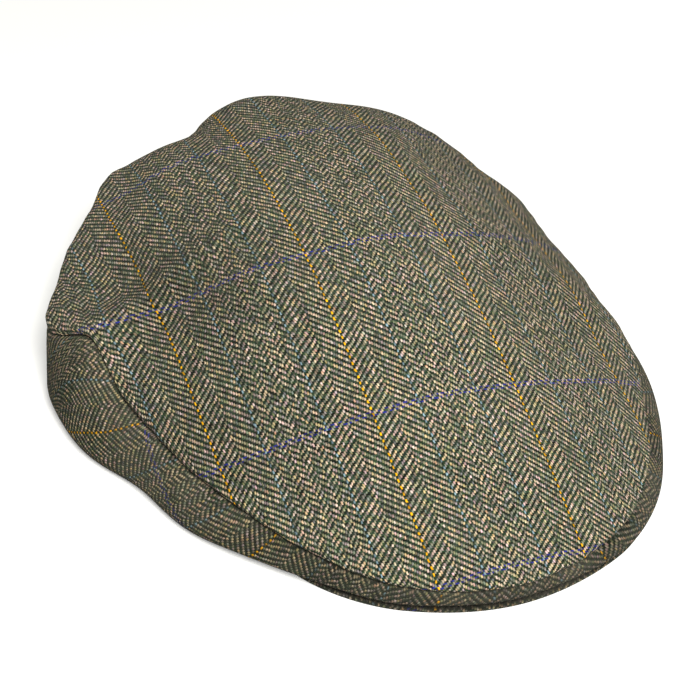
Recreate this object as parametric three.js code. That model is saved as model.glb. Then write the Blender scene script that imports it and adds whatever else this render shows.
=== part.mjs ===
import * as THREE from 'three'

// A flat cap of tweed, lying on a table as it would by itself. Millimetres, +Z up, the wearer's
// front towards -Y and the wearer's left towards +X. It is cut from three pieces: a top panel, a
// side band that goes all the way round and is joined at the centre back, and a peak.

// Driving dimensions
const CROWN_HEIGHT = 82
const CROWN_Y = 25
const CLOTH_WALL = 2
const PIECE_GAP = 0.3
const PEAK_THICKNESS = 5
const PEAK_EDGE_ROUND = 1
const PEAK_HALF_ANGLE = 38
const PEAK_CORNER_POWER = 8
const PEAK_SETBACK = 2.2
const HEAD_HALF_WIDTH = 82
const HEAD_HALF_LENGTH = 98
const HEAD_CENTRE_Y = 12
// From the crown's plan to the middle of the whole cap's box, which is the origin
const MIDDLE_X = -6.2
const MIDDLE_Y = -0.4

// How finely the cloth is cut into facets
const SPOKES = 72
const TOP_RINGS = 15
const TUCK_RINGS = 3
const BAND_RINGS = 6
const ROLL_RINGS = 3
const PEAK_STEPS = 28

// The share of the top panel's radius that lies inside its widest line
const BROW_SHARE = 0.92
// How close to the edge the sways of the outline stay
const SWAY_REACH = 3
// How wide the crown's rounded top is, as a share of the radius
const CROWN_SOFTNESS = 0.18
// How much of the band's fall is spread evenly, the rest being a round shoulder
const BAND_EVEN_FALL = 0.5

// Sections of the cap at angles from the front, used on the left and on the right. Radii are from
// the crown's axis. The top panel falls from the crown to its widest line, the brow, and tucks in
// to the seam. The band goes out from the seam to its belly, and turns under to the hem. Bend says
// how late the crown falls away, and full says how square its shoulder is.
const SECTIONS = table(
  ['at', 'seamR', 'seamZ', 'browR', 'browZ', 'bellyR', 'bellyZ', 'hemR', 'hemZ', 'bend', 'full'],
  [
    [0, 166, 13.8, 167, 15.8, 165.5, 8.3, 160, 5.3, 1.4, 1.02],
    [15, 157.5, 15, 158.5, 17, 158, 8.3, 150, 5.3, 1.4, 1.02],
    [30, 138, 18.5, 139, 20.5, 142, 8.3, 125, 5.3, 1.4, 1.05],
    [40, 126, 21, 127, 23, 134.5, 8.3, 108, 5.3, 1.4, 1.1],
    [50, 118, 24, 119, 26, 129, 8, 96, 1, 1.4, 1.14],
    [65, 109, 28, 110, 31, 123, 8, 88, 0, 1.4, 1.2],
    [90, 103, 33, 105, 36, 120, 10, 81, 0, 1.4, 1.25],
    [120, 104, 41, 107, 46, 119, 16, 80, 0, 1.6, 1.3],
    [150, 105, 50, 107, 56, 117, 22, 83, 0, 1.8, 1.4],
    [180, 107, 54, 109, 61, 118, 24, 85, 0, 2, 1.4],
  ],
)

// Soft waves of the outline, where the cloth sways out or in over a stretch of angle. Positive
// angles are on the wearer's left. Out moves the top panel's edge, and foot moves the belly.
const SWAYS = table(
  ['at', 'spread', 'out', 'foot', 'up'],
  [
    [27, 20, 10, 14.5, 0],
    [50, 9, 5, 4, 0],
    [58, 12, 0, -9, 0],
    [84, 17, -8, -11, 0],
    [112, 13, -9, -4, 0],
    [133, 10, -2, 0, 0],
    [158, 12, -4, -1, 0],
    [-64, 12, 0, -2, 0],
    [-84, 14, 0, 3, 0],
    [-99, 9, 13, 5, -4],
    [-114, 14, 6, -6, -2],
    [-126, 18, 0, -6, 0],
    [-143, 8, 5, 1, 0],
    [-161, 10, -11, -2, 0],
  ],
)

// Dents and soft folds of the top panel, each a long mound or hollow at a place seen from above,
// turned by an angle from the X axis. Up is its height, and less than zero is a dent.
const FOLDS = table(
  ['x', 'y', 'turn', 'long', 'wide', 'up'],
  [
    [-60, 105, 60, 40, 14, -4],
    [-10, 120, 10, 40, 16, 3],
    [-88, 40, 100, 30, 12, -3],
    [70, 60, 60, 45, 16, -3],
  ],
)

const CLOTH_COLOUR = 0x6b6553
const CLOTH_ROUGHNESS = 0.95
const QUARTER_TURN = Math.PI / 2
const radians = THREE.MathUtils.degToRad

function table(columns, rows) {
  return rows.map((row) => Object.fromEntries(columns.map((name, i) => [name, row[i]])))
}

// The angle brought into the half turn on either side of the front
function wrapAngle(angle) {
  return ((((angle + 180) % 360) + 360) % 360) - 180
}

// One column of the sections at any angle, as a smooth curve that closes round the cap
function sectionValue(column, angle) {
  const distance = Math.abs(wrapAngle(angle))
  const last = SECTIONS.length - 1
  const mirrored = (i) => (i < 0 ? -i : i > last ? 2 * last - i : i)
  const place = (i) => (i < 0 ? -SECTIONS[-i].at : i > last ? 360 - SECTIONS[2 * last - i].at : SECTIONS[i].at)
  const value = (i) => SECTIONS[mirrored(i)][column]
  const slope = (i) => (value(i + 1) - value(i - 1)) / (place(i + 1) - place(i - 1))
  let i = 0
  while (i < last - 1 && distance >= place(i + 1)) i += 1
  const span = place(i + 1) - place(i)
  const s = (distance - place(i)) / span
  const rise = s * s * (3 - 2 * s)
  const bow = span * s * (1 - s) * ((1 - s) * slope(i) - s * slope(i + 1))
  return value(i) * (1 - rise) + value(i + 1) * rise + bow
}

function swayValue(column, angle) {
  let sum = 0
  for (const sway of SWAYS) {
    const away = wrapAngle(angle - sway.at) / sway.spread
    sum += sway[column] * Math.exp(-away * away)
  }
  return sum
}

// The whole section at one angle
function sectionAt(angle) {
  const cut = { angle }
  for (const column of Object.keys(SECTIONS[0])) {
    if (column !== 'at') cut[column] = sectionValue(column, angle)
  }
  cut.out = swayValue('out', angle)
  cut.seamR += cut.out
  cut.seamZ += swayValue('up', angle)
  cut.browZ += swayValue('up', angle)
  cut.bellyR += swayValue('foot', angle)
  cut.hemZ = Math.max(cut.hemZ, 0)
  return cut
}

function foldHeight(x, y) {
  let sum = 0
  for (const fold of FOLDS) {
    const turn = radians(fold.turn)
    const along = (x - fold.x) * Math.cos(turn) + (y - fold.y) * Math.sin(turn)
    const across = (y - fold.y) * Math.cos(turn) - (x - fold.x) * Math.sin(turn)
    sum += fold.up * Math.exp(-((along / fold.long) ** 2) - (across / fold.wide) ** 2)
  }
  return sum
}

function fromAxis(angle, radius, z) {
  const turn = radians(angle)
  return new THREE.Vector3(radius * Math.sin(turn), CROWN_Y - radius * Math.cos(turn), z)
}

// Runs from 0 to 1 like its input, but starts level, so that the crown is round and not a point
function softened(share) {
  return (Math.hypot(share, CROWN_SOFTNESS) - CROWN_SOFTNESS) / (Math.hypot(1, CROWN_SOFTNESS) - CROWN_SOFTNESS)
}

// The top panel at a share of its radius, where 0 is the crown and 1 the seam. The inner face is
// the same form taken in by the wall.
function topPoint(cut, share, wall) {
  const dome = Math.min(share / BROW_SHARE, 1)
  const tuck = Math.max((share - BROW_SHARE) / (1 - BROW_SHARE), 0) * QUARTER_TURN
  const browZ = cut.browZ - wall / 2
  const fall = Math.pow(1 - Math.pow(softened(dome), cut.bend), 1 / cut.full)
  let radius = (cut.browR - wall) * dome + cut.out * dome ** SWAY_REACH
  let z = browZ + (CROWN_HEIGHT - wall - browZ) * fall
  if (share > BROW_SHARE) {
    radius = cut.seamR - wall + (cut.browR + cut.out - cut.seamR) * Math.cos(tuck)
    z = browZ - (browZ - cut.seamZ) * Math.sin(tuck)
  }
  const point = fromAxis(cut.angle, radius, z)
  point.z += foldHeight(point.x, point.y) * THREE.MathUtils.smoothstep(1 - share, 0, 0.15)
  return point
}

// The band's outer face as radius and height: out from the seam, round the belly, flat to the hem
function bandCurve(cut) {
  const points = []
  const top = cut.seamZ - PIECE_GAP
  for (let i = 0; i < BAND_RINGS; i += 1) {
    const part = i / BAND_RINGS
    const shoulder = 1 - Math.cos(part * QUARTER_TURN)
    const fall = BAND_EVEN_FALL * part + (1 - BAND_EVEN_FALL) * shoulder
    const radius = cut.seamR + (cut.bellyR - cut.seamR) * Math.sin(part * QUARTER_TURN)
    points.push(new THREE.Vector2(radius, top + (cut.bellyZ - top) * fall))
  }
  const roll = cut.bellyZ - cut.hemZ
  for (let i = 0; i <= ROLL_RINGS; i += 1) {
    const turn = (i / ROLL_RINGS) * QUARTER_TURN
    points.push(new THREE.Vector2(cut.bellyR - roll + roll * Math.cos(turn), cut.bellyZ - roll * Math.sin(turn)))
  }
  points.push(new THREE.Vector2(Math.min(cut.hemR, cut.bellyR - roll - 1), cut.hemZ))
  return points
}

// The same curve moved square to itself into the cloth
function insetCurve(points, wall) {
  return points.map((point, i) => {
    const before = points[Math.max(i - 1, 0)]
    const after = points[Math.min(i + 1, points.length - 1)]
    const along = new THREE.Vector2().subVectors(after, before).normalize()
    return new THREE.Vector2(point.x + along.y * wall, point.y - along.x * wall)
  })
}

// A closed solid from one closed section at each spoke. A section that starts and ends on the
// crown's axis has one shared point at each end.
function solidFromSections(sections, endsOnAxis) {
  const count = sections[0].length
  const positions = []
  const index = sections.map((section, spoke) => section.map((point, i) => {
    const shared = endsOnAxis && (i === 0 || i === count - 1) && spoke > 0
    if (!shared) positions.push(point.x, point.y, point.z)
    return shared ? -1 : positions.length / 3 - 1
  }))
  const triangles = []
  const corner = (spoke, i) => {
    const row = index[spoke % sections.length]
    return endsOnAxis && (i === 0 || i === count - 1) ? index[0][i] : row[i % count]
  }
  const add = (a, b, c) => {
    if (a !== b && b !== c && c !== a) triangles.push(a, b, c)
  }
  const strips = endsOnAxis ? count - 1 : count
  for (let spoke = 0; spoke < sections.length; spoke += 1) {
    for (let i = 0; i < strips; i += 1) {
      add(corner(spoke, i), corner(spoke, i + 1), corner(spoke + 1, i + 1))
      add(corner(spoke, i), corner(spoke + 1, i + 1), corner(spoke + 1, i))
    }
  }
  const geometry = new THREE.BufferGeometry()
  geometry.setAttribute('position', new THREE.Float32BufferAttribute(positions, 3))
  geometry.setIndex(triangles)
  geometry.computeVertexNormals()
  return geometry
}

function spokeAngles() {
  return Array.from({ length: SPOKES }, (_, i) => (i * 360) / SPOKES)
}

function topPanel() {
  const shares = []
  for (let i = 0; i <= TOP_RINGS; i += 1) {
    shares.push(BROW_SHARE * Math.sin((i / TOP_RINGS) * QUARTER_TURN) ** 1.15)
  }
  for (let i = 1; i <= TUCK_RINGS; i += 1) {
    shares.push(BROW_SHARE + ((1 - BROW_SHARE) * i) / TUCK_RINGS)
  }
  const sections = spokeAngles().map((angle) => {
    const cut = sectionAt(angle)
    const outer = shares.map((share) => topPoint(cut, share, 0))
    const inner = shares.map((share) => topPoint(cut, share, CLOTH_WALL))
    return [...outer, ...inner.reverse()]
  })
  return solidFromSections(sections, true)
}

function sideBand() {
  const sections = spokeAngles().map((angle) => {
    const outer = bandCurve(sectionAt(angle))
    const inner = insetCurve(outer, CLOTH_WALL)
    return [...outer, ...inner.reverse()].map((point) => fromAxis(angle, point.x, point.y))
  })
  return solidFromSections(sections, false)
}

// How far the head opening's edge is from the crown's axis, on the oval of the head
function headRadius(angle) {
  const x = Math.sin(radians(angle)) / HEAD_HALF_WIDTH
  const y = Math.cos(radians(angle)) / HEAD_HALF_LENGTH
  const offset = (CROWN_Y - HEAD_CENTRE_Y) / HEAD_HALF_LENGTH
  const squares = x * x + y * y
  return (y * offset + Math.sqrt(y * y * offset * offset + squares * (1 - offset * offset))) / squares
}

// The peak is a stiff crescent from the head opening to just behind the band's front edge, and its
// flat underside lies on the table.
function peak() {
  const outer = []
  const inner = []
  for (let i = 0; i <= PEAK_STEPS; i += 1) {
    const angle = PEAK_HALF_ANGLE * ((2 * i) / PEAK_STEPS - 1)
    const near = headRadius(angle)
    const far = sectionAt(angle).bellyR - PEAK_SETBACK - PEAK_EDGE_ROUND
    const reach = Math.sqrt(Math.max(1 - Math.abs(angle / PEAK_HALF_ANGLE) ** PEAK_CORNER_POWER, 0.01))
    const from = fromAxis(angle, near + PEAK_EDGE_ROUND, 0)
    const to = fromAxis(angle, near + (far - near) * reach, 0)
    inner.push(new THREE.Vector2(from.x, from.y))
    outer.push(new THREE.Vector2(to.x, to.y))
  }
  const outline = new THREE.Shape([...outer, ...inner.reverse()])
  const geometry = new THREE.ExtrudeGeometry(outline, {
    depth: PEAK_THICKNESS - 2 * PEAK_EDGE_ROUND,
    bevelThickness: PEAK_EDGE_ROUND,
    bevelSize: PEAK_EDGE_ROUND,
    bevelSegments: 2,
  })
  geometry.translate(0, 0, PEAK_EDGE_ROUND)
  return geometry
}

function cloth(name, geometry) {
  const material = new THREE.MeshStandardMaterial({
    name: 'tweed',
    color: CLOTH_COLOUR,
    roughness: CLOTH_ROUGHNESS,
    metalness: 0,
  })
  const mesh = new THREE.Mesh(geometry, material)
  mesh.name = name
  return mesh
}

const cap = new THREE.Group()
cap.add(cloth('top_panel', topPanel()))
cap.add(cloth('side_band', sideBand()))
cap.add(cloth('peak', peak()))
cap.position.set(-MIDDLE_X, -MIDDLE_Y, 0)

export default cap
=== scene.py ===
# %% [markdown]
# A flat cap of herringbone tweed, lying on a table with its front low. The real one is cut from
# three pieces of one cloth: a top panel, a side band all the way round, and a stiff peak that the
# front of the band nearly hides. Each piece is a closed mesh from nearly the same named sizes as
# the part's solids, with far more points, so that soft waves and the turned seams can be seen.

# %% Load the frame
import math
import bpy
import numpy as np
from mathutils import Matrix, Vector


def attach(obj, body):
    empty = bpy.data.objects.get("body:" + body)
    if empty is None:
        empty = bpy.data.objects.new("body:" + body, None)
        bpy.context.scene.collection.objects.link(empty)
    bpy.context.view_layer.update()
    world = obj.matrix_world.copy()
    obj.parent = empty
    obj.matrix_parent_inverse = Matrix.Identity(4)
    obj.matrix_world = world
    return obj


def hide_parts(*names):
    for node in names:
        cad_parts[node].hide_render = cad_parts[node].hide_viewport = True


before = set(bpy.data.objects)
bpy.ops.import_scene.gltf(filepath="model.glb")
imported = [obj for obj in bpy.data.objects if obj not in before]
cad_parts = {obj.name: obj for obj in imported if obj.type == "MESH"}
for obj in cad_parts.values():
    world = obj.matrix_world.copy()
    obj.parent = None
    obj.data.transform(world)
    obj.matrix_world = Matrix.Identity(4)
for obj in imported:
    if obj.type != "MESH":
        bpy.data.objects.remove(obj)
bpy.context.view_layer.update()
MM = 0.001
print("solids of the part:", sorted(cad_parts))

# %% [markdown]
# The picture comes first, because every later choice is judged through it. The camera stands in
# front of the cap and to the wearer's right, and looks down by almost forty degrees. A long lens
# from seventy centimetres away keeps the far edge nearly as large as the near one.

# %% Camera
CAP_MIDDLE = Vector((0.0062, 0.0004, 0.0))
CAMERA_TURN = -25.0
CAMERA_HEIGHT = 39.5
CAMERA_DISTANCE = 0.70
LENS = 85.7
SENSOR_WIDTH = 36.0
SHIFT_RIGHT = -0.0129
SHIFT_UP = 0.0443


def add_camera():
    turn = math.radians(CAMERA_TURN)
    height = math.radians(CAMERA_HEIGHT)
    away = Vector((
        math.sin(turn) * math.cos(height),
        -math.cos(turn) * math.cos(height),
        math.sin(height),
    ))
    data = bpy.data.cameras.new("photo_camera")
    data.lens = LENS
    data.sensor_width = SENSOR_WIDTH
    data.shift_x = SHIFT_RIGHT
    data.shift_y = SHIFT_UP
    camera = bpy.data.objects.new("photo_camera", data)
    bpy.context.scene.collection.objects.link(camera)
    camera.location = CAP_MIDDLE + away * CAMERA_DISTANCE
    camera.rotation_euler = (-away).to_track_quat("-Z", "Y").to_euler()
    bpy.context.scene.camera = camera
    return camera


camera = add_camera()
print("camera at", [round(value, 3) for value in camera.location])

# %% [markdown]
# Soft studio light shows cloth best. One large round lamp, above and in front of the cap, draws
# its slopes, and a pale world fills the shadows, so that no edge goes black. A small hard lamp
# would bring out the weave more, but also cast a sharp shadow that the real cap doesn't have.

# %% Light
KEY_PLACE = (-0.24, -1.44, 1.62)
KEY_SIZE = 0.8
KEY_WATTS = 98.0
KEY_COLOUR = (0.985, 0.98, 0.935)
WORLD_COLOUR = (1.0, 0.965, 0.88, 1.0)
WORLD_STRENGTH = 0.13


def area_lamp(name, place, size, watts, colour):
    data = bpy.data.lights.new(name, "AREA")
    data.shape = "DISK"
    data.size = size
    data.energy = watts
    data.color = colour
    lamp = bpy.data.objects.new(name, data)
    bpy.context.scene.collection.objects.link(lamp)
    lamp.location = place
    lamp.rotation_euler = (CAP_MIDDLE - Vector(place)).to_track_quat("-Z", "Y").to_euler()
    return lamp


area_lamp("key_light", KEY_PLACE, KEY_SIZE, KEY_WATTS, KEY_COLOUR)
world = bpy.data.worlds.new("studio")
bpy.context.scene.world = world
world.use_nodes = True
sky = world.node_tree.nodes["Background"]
sky.inputs["Color"].default_value = WORLD_COLOUR
sky.inputs["Strength"].default_value = WORLD_STRENGTH
bpy.context.scene.view_settings.view_transform = "Standard"
print("lamps:", [lamp.name for lamp in bpy.data.lights])

# %% [markdown]
# The cap lies on a plain pale sheet, wide enough to fill the picture. Its paint glows a little, so
# that the cap's shadow stays soft and pale. The sheet throws no light back on the cloth, because
# the band would then look lit from below.

# %% Floor
FLOOR_REACH = 6.0
FLOOR_GREY = (0.66, 0.66, 0.66, 1.0)
FLOOR_ROUGHNESS = 0.9
FLOOR_GLOW = 0.24


def add_floor():
    mesh = bpy.data.meshes.new("floor")
    reach = FLOOR_REACH
    corners = [(-reach, -reach, 0), (reach, -reach, 0), (reach, reach, 0), (-reach, reach, 0)]
    mesh.from_pydata(corners, [], [(0, 1, 2, 3)])
    floor = bpy.data.objects.new("floor", mesh)
    bpy.context.scene.collection.objects.link(floor)
    paint = bpy.data.materials.new("pale_floor")
    paint.use_nodes = True
    shader = paint.node_tree.nodes["Principled BSDF"]
    shader.inputs["Base Color"].default_value = FLOOR_GREY
    shader.inputs["Roughness"].default_value = FLOOR_ROUGHNESS
    shader.inputs["Emission Color"].default_value = (1.0, 1.0, 1.0, 1.0)
    shader.inputs["Emission Strength"].default_value = FLOOR_GLOW
    mesh.materials.append(paint)
    floor.visible_diffuse = False
    return floor


floor = add_floor()
print("floor:", [round(side, 1) for side in floor.dimensions], "m")

# %% [markdown]
# The cap's form is written down as cuts at angles from the front, used on the left and the right
# alike. In each cut, r is a distance from the crown's axis and z a height: at the seam, at the
# brow, where the top panel is widest, at the belly, where the band is widest, and at the hem. The
# last two numbers say how round the dome is. The whole could be sculpted by hand instead, but
# then no size would have a name. A maker would call this table the pattern's draft.

# %% The cap's sizes, in millimetres
CROWN_HEIGHT = 82.0
CROWN_Y = 25.0
MIDDLE = (-6.2, -0.4)
CLOTH_WALL = 2.0
PIECE_GAP = 0.3
BROW_SHARE = 0.92
SWAY_REACH = 3
CROWN_SOFTNESS = 0.18
BAND_EVEN_FALL = 0.5
SMOOTH_SEAM_AT = -100.0
SMOOTH_SEAM_SPREAD = 11.0
SMOOTH_SEAM_SWELL = 2.2


def table(columns, rows):
    return [dict(zip(columns, row)) for row in rows]


SECTIONS = table(
    ["at", "seam_r", "seam_z", "brow_r", "brow_z", "belly_r", "belly_z", "hem_r", "hem_z", "bend", "full"],
    [
        [0, 166, 13.8, 167, 15.8, 165.5, 8.3, 160, 5.3, 1.4, 1.02],
        [15, 157.5, 15, 158.5, 17, 158, 8.3, 150, 5.3, 1.4, 1.02],
        [30, 138, 18.5, 139, 20.5, 142, 8.3, 125, 5.3, 1.4, 1.05],
        [40, 126, 21, 127, 23, 134.5, 8.3, 108, 5.3, 1.4, 1.1],
        [50, 118, 24, 119, 26, 129, 8, 96, 1, 1.4, 1.14],
        [65, 109, 28, 110, 31, 123, 8, 88, 0, 1.4, 1.2],
        [90, 103, 33, 105, 36, 120, 10, 81, 0, 1.4, 1.25],
        [120, 104, 41, 107, 46, 119, 16, 80, 0, 1.6, 1.3],
        [150, 105, 50, 107, 56, 117, 22, 83, 0, 1.8, 1.4],
        [180, 107, 54, 109, 61, 118, 24, 85, 0, 2, 1.4],
    ],
)

print("cuts:", len(SECTIONS), "from", SECTIONS[0]["at"], "to", SECTIONS[-1]["at"], "degrees")

# %% [markdown]
# Worn cloth sways, differently on the left and the right. A sway moves the seam and the brow out,
# the belly out and the seam up, most at one angle and less around it. A fold is a long low mound
# or dent on the crown. The part's solids come from tables like these. A few rows are in this
# script alone, or go a little further here: they lift the seam beside the left notch, draw it in
# at the right, and press the crown in softly.

# %% Sways and folds
SWAYS = table(
    ["at", "spread", "out", "foot", "up"],
    [
        [27, 20, 10, 14.5, 0],
        [55, 9, -4, 5, 4],
        [50, 9, 5, 4, 0],
        [58, 12, 0, -9, 0],
        [84, 17, -8, -11, 0],
        [112, 13, -9, -4, 0],
        [133, 10, -2, 0, 0],
        [158, 12, -4, -1, 0],
        [-64, 12, 0, -3.5, 0],
        [-84, 14, 0, 3, 0],
        [-87, 8, 0, 0, 12],
        [-99, 9, 12, 4, -1],
        [-114, 14, 6, -6, -2],
        [-126, 18, 0, -6, 0],
        [-143, 8, 5, 1, 0],
        [-161, 10, -11, -2, 0],
    ],
)

FOLDS = table(
    ["x", "y", "turn", "long", "wide", "up"],
    [
        [-60, 105, 60, 40, 14, -4],
        [-10, 120, 10, 40, 16, 3],
        [-88, 40, 100, 30, 12, -3],
        [70, 60, 60, 45, 16, -3],
        [-85, 34, 108, 38, 18, -4],
        [-56, -26, 60, 40, 26, 4],
        [-18, 117, 10, 15, 18, -3],
        [-48, 113, 20, 14, 12, 1.5],
    ],
)
print("sways:", len(SWAYS), "folds:", len(FOLDS))

# %% [markdown]
# A whole ring of angles is worked out at once with numpy, because a fine mesh has tens of
# thousands of points. Each cut is read as a curve whose slopes agree on both sides of it. At one
# place on the left the real seam nearly fades out in a fold, so it swells to meet the brow there.

# %% Smooth curves between the cuts
def wrapped(angle):
    return (np.asarray(angle, float) + 180.0) % 360.0 - 180.0


def section_value(column, angle):
    away = np.abs(wrapped(angle))
    at = [row["at"] for row in SECTIONS]
    value = [row[column] for row in SECTIONS]
    at = np.array([-at[1]] + at + [360 - at[-2]], float)
    value = np.array([value[1]] + value + [value[-2]], float)
    k = np.clip(np.searchsorted(at, away, side="right") - 1, 1, len(at) - 3)
    slope_a = (value[k + 1] - value[k - 1]) / (at[k + 1] - at[k - 1])
    slope_b = (value[k + 2] - value[k]) / (at[k + 2] - at[k])
    span = at[k + 1] - at[k]
    s = (away - at[k]) / span
    rise = s * s * (3 - 2 * s)
    bow = span * s * (1 - s) * ((1 - s) * slope_a - s * slope_b)
    return value[k] * (1 - rise) + value[k + 1] * rise + bow


def sway_value(column, angle):
    total = np.zeros_like(np.asarray(angle, float))
    for sway in SWAYS:
        away = wrapped(angle - sway["at"]) / sway["spread"]
        total = total + sway[column] * np.exp(-away * away)
    return total


def smooth_seam(angle):
    away = wrapped(angle - SMOOTH_SEAM_AT) / SMOOTH_SEAM_SPREAD
    return np.exp(-away * away)


def section_at(angle):
    cut = {name: section_value(name, angle) for name in SECTIONS[0] if name != "at"}
    cut["out"] = sway_value("out", angle)
    cut["seam_r"] = cut["seam_r"] + cut["out"]
    cut["seam_r"] = cut["seam_r"] + SMOOTH_SEAM_SWELL * smooth_seam(angle)
    cut["seam_z"] = cut["seam_z"] + sway_value("up", angle)
    cut["brow_z"] = cut["brow_z"] + sway_value("up", angle)
    cut["belly_r"] = cut["belly_r"] + sway_value("foot", angle)
    cut["hem_z"] = np.maximum(cut["hem_z"], 0.0)
    return cut


def from_axis(angle, radius, z):
    turn = np.radians(angle)
    x = radius * np.sin(turn) - MIDDLE[0]
    y = CROWN_Y - radius * np.cos(turn) - MIDDLE[1]
    return np.stack([x + 0 * z, y + 0 * z, z + 0 * x], -1)


front = section_at(np.array([0.0]))
print("the front seam is", float(front["seam_z"][0]), "mm up")

# %% [markdown]
# Real cloth is never quite even. Long soft mounds and dents come from the table above, and a
# gentle ripple of a few seeded waves is laid over them, so that light breaks a little everywhere.
# Along the seam the thread draws the cloth into small puckers. A noise texture could move the
# points too, but waves with a fixed seed come out the same each time and are easy to fade out.

# %% Dents, ripples and puckers
RIPPLE_WAVES = 14
RIPPLE_HEIGHT = 0.22
RIPPLE_LENGTHS = (22.0, 70.0)
PUCKER_HEIGHT = 0.35
PUCKER_COUNT = 58
PUCKER_SHARES = (0.6, 0.85, 1.0, 1.3)


def patch_share(patch, x, y):
    turn = math.radians(patch["turn"])
    dx = x + MIDDLE[0] - patch["x"]
    dy = y + MIDDLE[1] - patch["y"]
    along = dx * math.cos(turn) + dy * math.sin(turn)
    across = dy * math.cos(turn) - dx * math.sin(turn)
    return np.exp(-((along / patch["long"]) ** 2) - (across / patch["wide"]) ** 2)


def fold_height(x, y):
    total = 0 * x
    for fold in FOLDS:
        total = total + fold["up"] * patch_share(fold, x, y)
    return total


def ripple(x, y, z, seed):
    chance = np.random.default_rng(seed)
    total = 0 * x
    for _ in range(RIPPLE_WAVES):
        way = chance.normal(size=3)
        way = way / np.linalg.norm(way)
        length = chance.uniform(*RIPPLE_LENGTHS)
        phase = chance.uniform(0, 2 * math.pi)
        total = total + np.sin((x * way[0] + y * way[1] + z * way[2]) * 2 * math.pi / length + phase)
    return total * RIPPLE_HEIGHT / math.sqrt(RIPPLE_WAVES / 2)


def pucker(angle, seed):
    chance = np.random.default_rng(seed)
    total = 0 * angle
    for share in PUCKER_SHARES:
        count = round(PUCKER_COUNT * share)
        total = total + np.sin(np.radians(angle) * count + chance.uniform(0, 2 * math.pi))
    return total / 2


print("puckers round the seam:", PUCKER_COUNT)

# %% [markdown]
# The top panel falls from the crown to its widest line, the brow, and tucks in to the seam. It
# could be draped with a cloth simulation, but its form then couldn't follow the named cuts. So it
# is a fan of spokes, and a smooth start at the crown keeps it round instead of pointed.

# %% The top panel's form
SPOKES = 300
DOME_RINGS = 82
DOME_CROWDING = 1.1
TUCK_RINGS = 10
TOP_RIPPLE_SEED = 3
TOP_PUCKER_SEED = 5
STILL_SHARE = 0.15
PUCKER_AT_SHARE = 0.93
PUCKER_REACH = 0.05
SEWN_SHARE = 0.995


def softened(share):
    start = CROWN_SOFTNESS
    return (np.hypot(share, start) - start) / (math.hypot(1, start) - start)


def smooth_step(value):
    value = np.clip(value, 0, 1)
    return value * value * (3 - 2 * value)


def top_point(angle, share, wall):
    cut = section_at(angle)
    dome = np.minimum(share / BROW_SHARE, 1.0)
    tuck = np.clip((share - BROW_SHARE) / (1 - BROW_SHARE), 0, 1) * math.pi / 2
    brow_z = cut["brow_z"] - wall / 2
    fall = np.maximum(1 - softened(dome) ** cut["bend"], 0) ** (1 / cut["full"])
    inner_r = (cut["brow_r"] - wall) * dome + cut["out"] * dome ** SWAY_REACH
    inner_z = brow_z + (CROWN_HEIGHT - wall - brow_z) * fall
    outer_r = cut["seam_r"] - wall + (cut["brow_r"] + cut["out"] - cut["seam_r"]) * np.cos(tuck)
    outer_z = brow_z - (brow_z - cut["seam_z"]) * np.sin(tuck)
    past = share > BROW_SHARE
    point = from_axis(angle, np.where(past, outer_r, inner_r), np.where(past, outer_z, inner_z))
    x, y, z = point[..., 0], point[..., 1], point[..., 2]
    loose = smooth_step((1 - share) / STILL_SHARE)
    near_seam = np.exp(-(((share - PUCKER_AT_SHARE) / PUCKER_REACH) ** 2)) * (share < SEWN_SHARE)
    soft = (fold_height(x, y) + ripple(x, y, z, TOP_RIPPLE_SEED)) * loose
    point[..., 2] = z + (soft + PUCKER_HEIGHT * pucker(angle, TOP_PUCKER_SEED) * near_seam)
    return point


def grid(angles, shares):
    return np.meshgrid(np.asarray(angles, float), np.asarray(shares, float), indexing="ij")


spoke_angles = -180 + 360 * np.arange(SPOKES) / SPOKES
dome_shares = BROW_SHARE * np.sin(np.linspace(0, math.pi / 2, DOME_RINGS)) ** DOME_CROWDING
tuck_shares = BROW_SHARE + (1 - BROW_SHARE) * np.linspace(0, 1, TUCK_RINGS + 1)[1:]
top_shares = np.concatenate([dome_shares, tuck_shares])
top_outer = top_point(*grid(spoke_angles, top_shares), 0.0)
print("top panel grid:", top_outer.shape)

# %% [markdown]
# The weave needs to know where each point lies in the flat cloth. Draped cloth keeps its threads'
# lengths, so the place is measured along the surface. A fine square net is laid over the crown,
# and the lengths of its steps are summed up from the middle, once sideways and once lengthwise.
# Unwrapping the mesh would also flatten it, but it would stretch the threads unevenly.

# %% A net over the crown
NET_STEP = 1.0
NET_HALF_WIDTH = 135
NET_HALF_LENGTH = 160
STEEPEST = 1.6
SOLVE_ROUNDS = 12


def dome_height(x, y):
    dx = x + MIDDLE[0]
    dy = y + MIDDLE[1] - CROWN_Y
    angle = np.degrees(np.arctan2(dx, -dy))
    radius = np.hypot(dx, dy)
    cut = section_at(angle)
    dome = radius / (cut["brow_r"] + cut["out"])
    for _ in range(SOLVE_ROUNDS):
        reach = cut["brow_r"] * dome + cut["out"] * dome ** SWAY_REACH
        slope = cut["brow_r"] + SWAY_REACH * cut["out"] * dome ** (SWAY_REACH - 1)
        dome = np.clip(dome - (reach - radius) / slope, 0, 1)
    fall = np.maximum(1 - softened(dome) ** cut["bend"], 0) ** (1 / cut["full"])
    return cut["brow_z"] + (CROWN_HEIGHT - cut["brow_z"]) * fall + fold_height(x, y)


net_x = np.arange(-NET_HALF_WIDTH, NET_HALF_WIDTH + 1, NET_STEP)
net_y = np.arange(-NET_HALF_LENGTH, NET_HALF_LENGTH + 1, NET_STEP)
net_z = dome_height(*np.meshgrid(net_x, net_y, indexing="ij"))


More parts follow.
